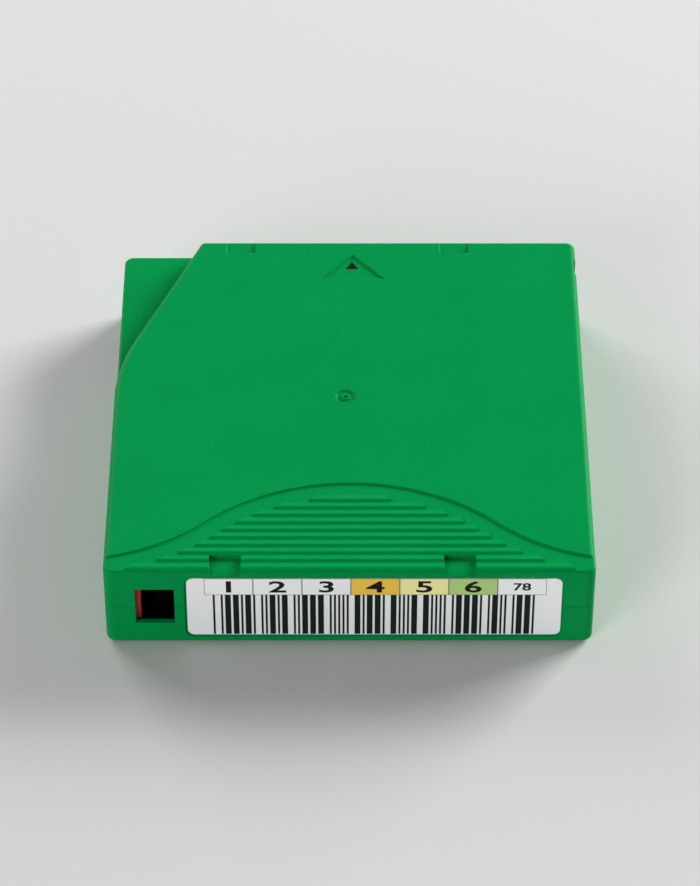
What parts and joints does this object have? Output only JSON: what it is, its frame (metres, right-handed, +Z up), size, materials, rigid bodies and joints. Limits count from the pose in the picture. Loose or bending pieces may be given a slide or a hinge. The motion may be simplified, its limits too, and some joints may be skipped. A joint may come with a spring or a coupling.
{
  "type": "data tape cartridge",
  "caption": "Flat square plastic tape cartridge with a stepped corner, grip ridges, a label face, a sliding tape door and a toothed reel hub seen from below.",
  "frame": {"origin": "centre of the underside", "axes": "+Z up through the case, +Y towards the end that enters a drive, the label face looks along -Y"},
  "size_m": [0.102, 0.1054, 0.0215],
  "materials": {
    "case_plastic": "moulded, fine satin grain",
    "label_paper": "smooth coated paper",
    "screw_steel": "plated",
    "door_plastic": "moulded",
    "spring_steel": "drawn wire",
    "tab_plastic": "moulded",
    "hub_plastic": "moulded",
    "flange_plastic": "clear moulded",
    "plate_steel": "stamped and plated",
    "tape_film": "coated film, wound tight",
    "clamp_plastic": "moulded",
    "pin_steel": "turned and polished",
    "pad_plastic": "moulded",
    "brake_plastic": "moulded",
    "board_laminate": "laminate",
    "chip_plastic": "moulded"
  },
  "bodies": {
    "case": {"top_shell": "case_plastic", "bottom_shell": "case_plastic", "label": "label_paper", "case_screws": "screw_steel", "door_spring": "spring_steel", "brake_spring": "spring_steel", "leader_tape": "tape_film", "tape_clamp": "clamp_plastic", "leader_pin": "pin_steel", "pin_clip_lower": "spring_steel", "pin_clip_upper": "spring_steel", "memory_board": "board_laminate", "memory_chip": "chip_plastic"},
    "reel": {"reel_hub": "hub_plastic", "reel_top_flange": "flange_plastic", "drive_plate": "plate_steel", "tape_pack": "tape_film"},
    "release_pad": {"release_pad": "pad_plastic"},
    "brake": {"brake_button": "brake_plastic"},
    "door": {"door": "door_plastic"},
    "write_protect": {"write_protect_tab": "tab_plastic"}
  },
  "joints": [
    {"name": "reel_turn", "type": "hinge", "parent": "case", "child": "reel", "pos_m": [-0.0008, 0.0005, 0.008], "axis": [0, 0, 1], "continuous": true},
    {"name": "brake_lift", "type": "slide", "parent": "case", "child": "brake", "axis": [0, 0, 1], "range_m": [0, 0.0018], "stiffness_N_per_m": 700, "springref_m": -0.003, "deforming": ["brake_spring"]},
    {"name": "pad_lift", "type": "slide", "parent": "reel", "child": "release_pad", "axis": [0, 0, 1], "range_m": [0, 0.0018]},
    {"name": "door_slide", "type": "slide", "parent": "case", "child": "door", "axis": [0, -1, 0], "range_m": [0, 0.017], "stiffness_N_per_m": 30, "springref_m": -0.01, "deforming": ["door_spring"]},
    {"name": "write_protect_slide", "type": "slide", "parent": "case", "child": "write_protect", "axis": [1, 0, 0], "range_m": [0, 0.0066]}
  ],
  "couplings": [
    {"joint": "pad_lift", "follows": "brake_lift", "ratio": 1}
  ]
}
